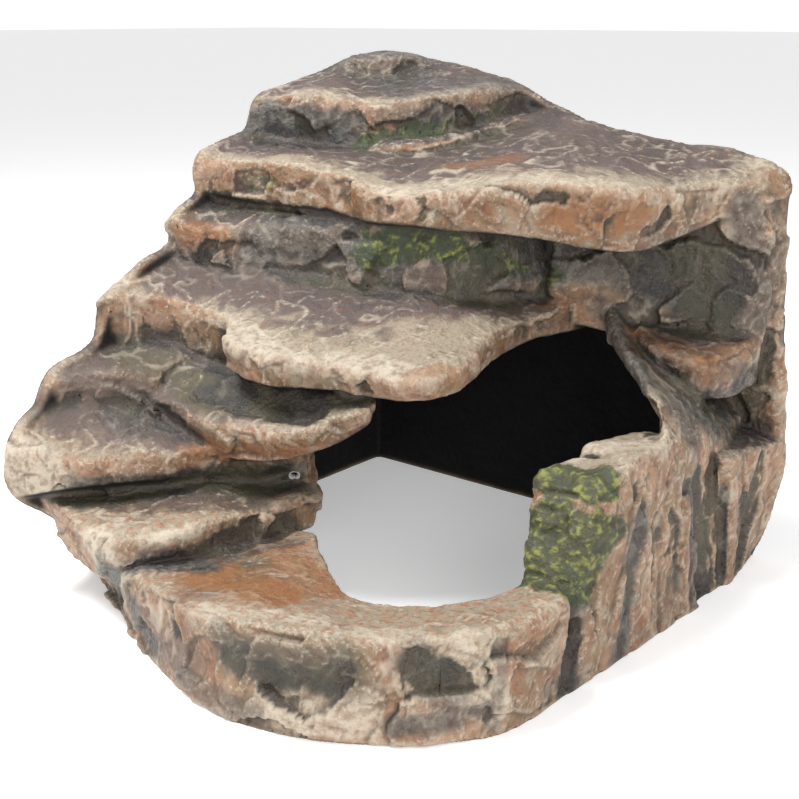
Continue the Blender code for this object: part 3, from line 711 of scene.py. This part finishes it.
# ---------------------------------------------------------------- node material helpers
class Paint:
    """A small wrapper that adds and links shader nodes."""

    def __init__(self, name):
        self.material = bpy.data.materials.new(name)
        self.material.use_nodes = True
        self.tree = self.material.node_tree
        self.shader = self.tree.nodes["Principled BSDF"]
        self.place = self.add("ShaderNodeTexCoord").outputs["Object"]
        self.blotch = self.noise(0.032, 4.0)
        self.patch = self.noise(0.010, 5.0, distortion=0.5)
        self.mottle = self.noise(0.0045, 5.0, rough=0.65)
        self.grain = self.noise(0.0018, 5.0, rough=0.7)

    def add(self, kind, **settings):
        node = self.tree.nodes.new(kind)
        for key, value in settings.items():
            setattr(node, key, value)
        return node

    def link(self, source, target):
        """Joins an output to an input, or sets the input to a number or a colour."""
        if isinstance(source, (int, float)):
            target.default_value = source
        elif isinstance(source, tuple):
            target.default_value = (*source, 1.0)
        else:
            self.tree.links.new(source, target)

    def mask(self, name):
        return self.add("ShaderNodeAttribute", attribute_name=name).outputs["Fac"]

    def noise(self, size, detail, rough=0.6, distortion=0.0):
        node = self.add("ShaderNodeTexNoise")
        self.link(self.place, node.inputs["Vector"])
        node.inputs["Scale"].default_value = 1 / size
        node.inputs["Detail"].default_value = detail
        node.inputs["Roughness"].default_value = rough
        node.inputs["Distortion"].default_value = distortion
        return node.outputs["Fac"]

    def math(self, operation, first, second, clamp=False):
        node = self.add("ShaderNodeMath", operation=operation, use_clamp=clamp)
        self.link(first, node.inputs[0])
        self.link(second, node.inputs[1])
        return node.outputs[0]

    def times(self, first, second):
        return self.math("MULTIPLY", first, second)

    def ramp(self, value, low, high, start=0.0, end=1.0):
        node = self.add("ShaderNodeMapRange", interpolation_type="SMOOTHSTEP")
        self.link(value, node.inputs["Value"])
        node.inputs["From Min"].default_value = low
        node.inputs["From Max"].default_value = high
        node.inputs["To Min"].default_value = start
        node.inputs["To Max"].default_value = end
        return node.outputs["Result"]

    def mix(self, amount, first, second):
        node = self.add("ShaderNodeMix", data_type="RGBA", clamp_factor=True)
        self.link(amount, node.inputs["Factor"])
        self.link(first, node.inputs["A"])
        self.link(second, node.inputs["B"])
        return node.outputs["Result"]

    def bump(self, height, distance, strength, below=None):
        node = self.add("ShaderNodeBump")
        self.link(height, node.inputs["Height"])
        node.inputs["Distance"].default_value = distance
        node.inputs["Strength"].default_value = strength
        if below is not None:
            self.link(below, node.inputs["Normal"])
        return node.outputs["Normal"]


# Paint colours, linear
CREAM = (0.54, 0.47, 0.37)
IVORY = (0.31, 0.255, 0.185)
TAN = (0.22, 0.132, 0.070)
PEACH = (0.34, 0.205, 0.130)
RUST = (0.23, 0.090, 0.040)
UMBER = (0.085, 0.060, 0.045)
MAUVE = (0.105, 0.075, 0.068)
# Painted shade on the tops, at the foot of the risers
MAUVE_SHADE = (0.052, 0.043, 0.042)
ORANGE_PAINT = (0.25, 0.105, 0.028)
OLIVE_PAINT = (0.085, 0.080, 0.035)
# The wash and painted shade in the hollows, and the dark of the grey strokes
CHARCOAL = (0.022, 0.021, 0.021)
SLATE = (0.088, 0.090, 0.082)
MOSS_DARK = (0.030, 0.042, 0.018)
MOSS_LIGHT = (0.20, 0.22, 0.040)
# Painted shade: the cave, the vent's hollow and the faces that look down
SHADE_BLACK = (0.0012, 0.001, 0.001)
RESIN = (0.040, 0.034, 0.030)
RESIN_PALE = (0.070, 0.060, 0.053)
CHIPPED = (0.62, 0.60, 0.58)


def face_colour(paint):
    """Broken side faces: tan and peach, with patches of rust and ivory and spots of umber."""
    face = paint.mix(paint.ramp(paint.blotch, 0.40, 0.60), TAN, PEACH)
    face = paint.mix(paint.ramp(paint.patch, 0.52, 0.64, 0.0, 0.75), face, RUST)
    face = paint.mix(paint.ramp(paint.patch, 0.46, 0.34, 0.0, 0.75), face, IVORY)
    return paint.mix(paint.ramp(paint.mottle, 0.54, 0.66, 0.0, 0.60), face, UMBER)


def top_colour(paint):
    """Flat tops: ivory at the edge and mauve further back, or peach on the low ones, with painted shade
    deepest in, at the foot of the riser behind: dark mauve, or umber on the low ones.
    """
    depth = paint.math("ADD", paint.mask("depth"), paint.ramp(paint.patch, 0.3, 0.7, -0.16, 0.16))
    upper = paint.mix(paint.ramp(depth, 0.12, 0.50), IVORY, MAUVE)
    # Painted shade: dark mauve deepest in, at the foot of the riser behind
    upper = paint.mix(paint.ramp(depth, 0.55, 0.95), upper, MAUVE_SHADE)
    lower = paint.mix(paint.ramp(paint.mottle, 0.44, 0.60), IVORY, PEACH)
    # Painted shade: umber deepest in on the low tops
    lower = paint.mix(paint.ramp(depth, 0.50, 0.95), lower, UMBER)
    flat = paint.mix(paint.mask("low"), upper, lower)
    flat = paint.mix(paint.ramp(paint.mottle, 0.54, 0.68, 0.0, 0.50), flat, RUST)
    return paint.mix(paint.ramp(paint.grain, 0.50, 0.36, 0.0, 0.45), flat, UMBER)


def add_strokes(paint, colour):
    """The strokes of pale, brown, orange, olive and grey paint; some of the brown and the grey strokes are
    painted shade.
    """
    mottle = paint.mottle
    pale = paint.times(paint.mask("pale"), paint.ramp(mottle, 0.58, 0.42, 0.35, 0.95))
    colour = paint.mix(pale, colour, CREAM)
    # Brown: partly brown paint, partly painted shade at the back of the tops
    brown = paint.mix(paint.ramp(mottle, 0.40, 0.62), MAUVE, UMBER)
    colour = paint.mix(paint.times(paint.mask("brown"), 0.85), colour, brown)
    orange = paint.mix(paint.ramp(mottle, 0.42, 0.62), ORANGE_PAINT, RUST)
    colour = paint.mix(paint.times(paint.mask("orange"), 0.92), colour, orange)
    olive = paint.times(paint.mask("olive"), paint.ramp(mottle, 0.25, 0.6, 0.9, 0.55))
    colour = paint.mix(olive, colour, OLIVE_PAINT)
    # Grey: slate paint, and painted shade under the lips and in the niche
    slate = paint.mix(paint.ramp(mottle, 0.40, 0.62), SLATE, CHARCOAL)
    return paint.mix(paint.times(paint.mask("grey"), 0.93), colour, slate)


def hollow_shade(paint):
    """How dark the hollows are painted, the wash and the painted shade together, with a ragged edge."""
    ragged = paint.math("ADD", paint.mask("shade"), paint.ramp(paint.patch, 0.3, 0.7, -0.14, 0.14))
    return paint.ramp(ragged, 0.18, 0.72)


def add_wash_and_shade(paint, colour, dark):
    """Charcoal and olive in the hollows, partly the paint's dark wash and partly painted shade, and umber
    in the cracks.
    """
    wash = paint.mix(paint.ramp(paint.blotch, 0.42, 0.58), CHARCOAL, OLIVE_PAINT)
    wash = paint.mix(0.55, wash, CHARCOAL)
    colour = paint.mix(paint.times(dark, 0.90), colour, wash)
    return paint.mix(paint.times(paint.mask("crack"), 0.50), colour, UMBER)


def add_cream(paint, colour, dark):
    """Cream brushed over veins, ridges and lips, less of it where the rock is dark."""
    veined = paint.ramp(paint.noise(0.016, 3.0), 0.44, 0.60, 0.1, 0.9)
    vein_here = paint.times(paint.mask("vein"), veined)
    brushed = paint.times(paint.mask("ridge"), paint.ramp(paint.grain, 0.44, 0.64))
    lips = paint.times(paint.mask("lip"), paint.ramp(paint.mottle, 0.42, 0.60, 0.10, 0.90))
    cream = paint.math("MAXIMUM", vein_here, paint.math("MAXIMUM", brushed, lips), clamp=True)
    hidden = paint.math("MAXIMUM", dark, paint.times(paint.mask("grey"), 0.8))
    covered = paint.math("MAXIMUM", paint.mask("brown"), paint.mask("orange"))
    hidden = paint.math("MAXIMUM", hidden, paint.times(covered, 0.80))
    lit = paint.math("SUBTRACT", 1.0, paint.times(hidden, 0.80))
    return paint.mix(paint.times(paint.times(cream, lit), 0.72), colour, CREAM)


def add_moss(paint, colour):
    """Dark moss with lime ridges."""
    mossy = paint.math("ADD", paint.mask("moss"), paint.ramp(paint.mottle, 0.3, 0.7, -0.25, 0.25))
    lime = paint.math("MULTIPLY", paint.ramp(paint.noise(0.005, 4.0), 0.44, 0.62),
                      paint.math("ADD", 0.10, paint.mask("ridge")), clamp=True)
    moss = paint.mix(lime, MOSS_DARK, MOSS_LIGHT)
    return paint.mix(paint.ramp(mossy, 0.30, 0.80, 0.0, 0.90), colour, moss)


def add_bare_parts_and_shade(paint, colour):
    """Specks of umber, black painted shade over the cave and the faces that look down, the unpainted resin
    at the back and the vent's rim.
    """
    colour = paint.mix(paint.ramp(paint.grain, 0.60, 0.74, 0.0, 0.40), colour, UMBER)
    colour = paint.mix(paint.mask("inside"), colour, SHADE_BLACK)
    resin = paint.mix(paint.ramp(paint.patch, 0.36, 0.64), RESIN, RESIN_PALE)
    colour = paint.mix(paint.mask("bare"), colour, resin)
    return paint.mix(paint.mask("chipped"), colour, CHIPPED)


def roughness(paint, dark):
    """Smoother where the paint is dark or grey, and matt in the cave."""
    shine = paint.math("ADD", 0.52, paint.ramp(paint.grain, 0.3, 0.7, -0.10, 0.14))
    wet = paint.math("MAXIMUM", dark, paint.mask("grey"))
    shine = paint.math("SUBTRACT", shine, paint.times(wet, 0.20))
    return paint.math("ADD", shine, paint.times(paint.mask("inside"), 0.50), clamp=True)


def rock_paint(name):
    """Hand-painted rock: mauve tops, tan and peach broken faces, cream ridges, hollows darkened by wash and
    painted shade, and the cave painted black as shade.
    """
    paint = Paint(name)
    dark = hollow_shade(paint)
    colour = paint.mix(paint.mask("top"), face_colour(paint), top_colour(paint))
    colour = add_strokes(paint, colour)
    colour = add_wash_and_shade(paint, colour, dark)
    colour = add_cream(paint, colour, dark)
    colour = add_moss(paint, colour)
    colour = add_bare_parts_and_shade(paint, colour)
    normal = paint.bump(paint.patch, 0.0030, 0.45)
    normal = paint.bump(paint.mottle, 0.0020, 0.75, below=normal)
    normal = paint.bump(paint.grain, 0.0009, 0.85, below=normal)
    paint.link(colour, paint.shader.inputs["Base Color"])
    paint.link(roughness(paint, dark), paint.shader.inputs["Roughness"])
    paint.link(normal, paint.shader.inputs["Normal"])
    paint.shader.inputs["Specular IOR Level"].default_value = 0.45
    return paint.material


# ---------------------------------------------------------------- castings
def vent_centre():
    return CORNER[0] + VENT[0], CORNER[1] - VENT[1], VENT[2]


def drill_vent(mesh):
    """A narrow hollow with a chipped pale rim, cut into a finely divided patch of the ledge."""
    centre = Vector(vent_centre())
    axis = Vector(VENT_AXIS).normalized()
    builder = bmesh.new()
    builder.from_mesh(mesh)
    for _ in range(2):
        patch = [edge for edge in builder.edges
                 if all(off_axis(vertex.co, centre, axis) < VENT_PATCH for vertex in edge.verts)]
        bmesh.ops.subdivide_edges(builder, edges=patch, cuts=1, use_grid_fill=True)
    chipped = builder.verts.layers.float["chipped"]
    inside = builder.verts.layers.float["inside"]
    builder.normal_update()
    for vertex in builder.verts:
        away = off_axis(vertex.co, centre, axis)
        if away < VENT_MOUTH and vertex.normal.dot(axis) < VENT_FACING:
            sunk = max(0.0, min(1.0, (VENT_RADIUS + VENT_FLARE - away) / VENT_EDGE))
            raised = max(0.0, 1 - abs(away - VENT_RADIUS - VENT_RIM) / VENT_RIM)
            vertex.co += axis * (VENT_DEPTH * sunk - VENT_LIFT * raised)
            vertex[chipped] = 1.0 if 0 < raised and sunk < 0.5 else 0.0
            # The hollow is painted black with the cave: painted shade
            vertex[inside] = max(vertex[inside], sunk)
    builder.to_mesh(mesh)
    builder.free()


def off_axis(place, centre, axis):
    """Distance from the vent's axis, or far away for places that aren't near its mouth."""
    offset = place - centre
    depth = offset.dot(axis)
    return (offset - axis * depth).length if abs(depth) < VENT_REACH else 1.0


def fill_mesh(mesh, points, quads):
    """Fills an empty mesh with four-sided faces."""
    mesh.vertices.add(len(points))
    mesh.vertices.foreach_set("co", points.ravel())
    mesh.loops.add(quads.size)
    mesh.loops.foreach_set("vertex_index", quads.ravel().astype(np.int32))
    mesh.polygons.add(len(quads))
    mesh.polygons.foreach_set("loop_start", np.arange(0, quads.size, 4, dtype=np.int32))
    mesh.update(calc_edges=True)


def add_attribute(mesh, name, values):
    """Stores a mask on the mesh, where the paint reads it."""
    attribute = mesh.attributes.new(name, "FLOAT", "POINT")
    attribute.data.foreach_set("value", np.clip(values, 0, 1).astype(np.float32))


def make_casting(name, number, skin, normals, masks, material):
    """The closed piece of the skin that stands for one CAD node."""
    forward = skin.quads[skin.sides[:, 0] == number]
    backward = skin.quads[skin.sides[:, 1] == number][:, ::-1]
    used, flat = np.unique(np.concatenate([forward, backward]), return_inverse=True)
    mesh = bpy.data.meshes.new(name + "_rock")
    fill_mesh(mesh, skin.points[used], flat.reshape(-1, 4))
    for mask, values in masks.items():
        add_attribute(mesh, mask, values[used])
    shading = normals[used]
    if name == VENT_PIECE:
        drill_vent(mesh)
        shading = vent_shading(mesh, shading)
    mesh.polygons.foreach_set("use_smooth", np.ones(len(mesh.polygons), bool))
    mesh.normals_split_custom_set_from_vertices(shading)
    mesh.materials.append(material)
    piece = bpy.data.objects.new(name + "_rock", mesh)
    bpy.context.scene.collection.objects.link(piece)
    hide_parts(name)
    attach(piece, "root")


def vent_shading(mesh, shading):
    """Shading normals with the divided patch's own normals where points were added or moved."""
    own = np.empty(len(mesh.vertices) * 3)
    mesh.vertices.foreach_get("normal", own)
    own = own.reshape(-1, 3)
    places = np.empty(len(mesh.vertices) * 3)
    mesh.vertices.foreach_get("co", places)
    near = np.linalg.norm(places.reshape(-1, 3) - np.array(vent_centre()), axis=1) < VENT_SHADED
    own[:len(shading)] = np.where(near[:len(shading), None], own[:len(shading)], shading)
    return own


# ---------------------------------------------------------------- stage
def make_floor():
    """A pale floor that glows a little, so that it stays pale around the ornament."""
    bpy.ops.mesh.primitive_plane_add(size=FLOOR_SIZE, location=(0, 0, 0))
    floor = bpy.context.active_object
    floor.name = "floor"
    material = bpy.data.materials.new("pale_floor")
    material.use_nodes = True
    shader = material.node_tree.nodes["Principled BSDF"]
    shader.inputs["Base Color"].default_value = (FLOOR_TONE, FLOOR_TONE, FLOOR_TONE, 1)
    shader.inputs["Roughness"].default_value = FLOOR_ROUGHNESS
    shader.inputs["Emission Color"].default_value = (1, 1, 1, 1)
    shader.inputs["Emission Strength"].default_value = FLOOR_GLOW
    floor.data.materials.append(material)


def make_light(name, place, size, power):
    data = bpy.data.lights.new(name, "AREA")
    data.size = size
    data.energy = power
    light = bpy.data.objects.new(name, data)
    bpy.context.scene.collection.objects.link(light)
    light.location = place
    light.rotation_euler = (Vector(LIGHT_AIM) - Vector(place)).to_track_quat("-Z", "Y").to_euler()


def make_sky():
    """A white surround that is brightest at the horizon and softer overhead."""
    world = bpy.data.worlds.new("studio")
    bpy.context.scene.world = world
    world.use_nodes = True
    nodes, links = world.node_tree.nodes, world.node_tree.links
    direction = nodes.new("ShaderNodeTexCoord")
    parts = nodes.new("ShaderNodeSeparateXYZ")
    fade = nodes.new("ShaderNodeMapRange")
    links.new(direction.outputs["Generated"], parts.inputs["Vector"])
    links.new(parts.outputs["Z"], fade.inputs["Value"])
    fade.inputs["From Min"].default_value, fade.inputs["From Max"].default_value = SKY_HEIGHTS
    fade.inputs["To Min"].default_value, fade.inputs["To Max"].default_value = SKY_STRENGTHS
    links.new(fade.outputs["Result"], nodes["Background"].inputs["Strength"])
    nodes["Background"].inputs["Color"].default_value = (1.0, 1.0, 1.0, 1.0)


def make_studio():
    make_sky()
    for name, place, size, power in LIGHTS:
        make_light(name, place, size, power)
    bpy.context.scene.view_settings.view_transform = "Standard"


def make_camera():
    azimuth, elevation = math.radians(VIEW_AZIMUTH), math.radians(VIEW_ELEVATION)
    back = Vector((math.sin(azimuth) * math.cos(elevation),
                   -math.cos(azimuth) * math.cos(elevation), math.sin(elevation)))
    data = bpy.data.cameras.new("view")
    data.lens = LENS
    data.sensor_width = SENSOR_WIDTH
    camera = bpy.data.objects.new("view", data)
    bpy.context.scene.collection.objects.link(camera)
    camera.location = Vector(VIEW_AIM) + back * VIEW_DISTANCE
    camera.rotation_euler = back.to_track_quat("Z", "Y").to_euler()
    bpy.context.scene.camera = camera


def main():
    names = sorted(frame["nodes"])
    slots = {entry["node"]: entry["material_slot"] for entry in frame["record"]["subparts"]}
    filled, label = sample_all(names)
    fields = {name: blurred(filled, spread) for name, (spread, _) in HOLLOW_SCALES.items()}
    field = np.maximum(blurred(filled, SOFTEN), fields["near"] - FILL_BIAS)
    skin = Skin(field, label)
    skin.points = skin.smoothed(skin.points, rounds=2, strength=0.4)
    walls = [names.index(name) + 1 for name in ("rear_left_wall", "rear_right_wall")]
    inside = cave_side(skin, walls)
    carve(skin, inside)
    skin.settle_inside(rounds=12)
    masks = paint_masks(skin, fields, inside)
    normals = skin.normals()
    materials = {slot: rock_paint(slot) for slot in sorted(set(slots.values()))}
    for number, name in enumerate(names, start=1):
        make_casting(name, number, skin, normals, masks, materials[slots[name]])
    make_floor()
    make_studio()
    make_camera()


main()
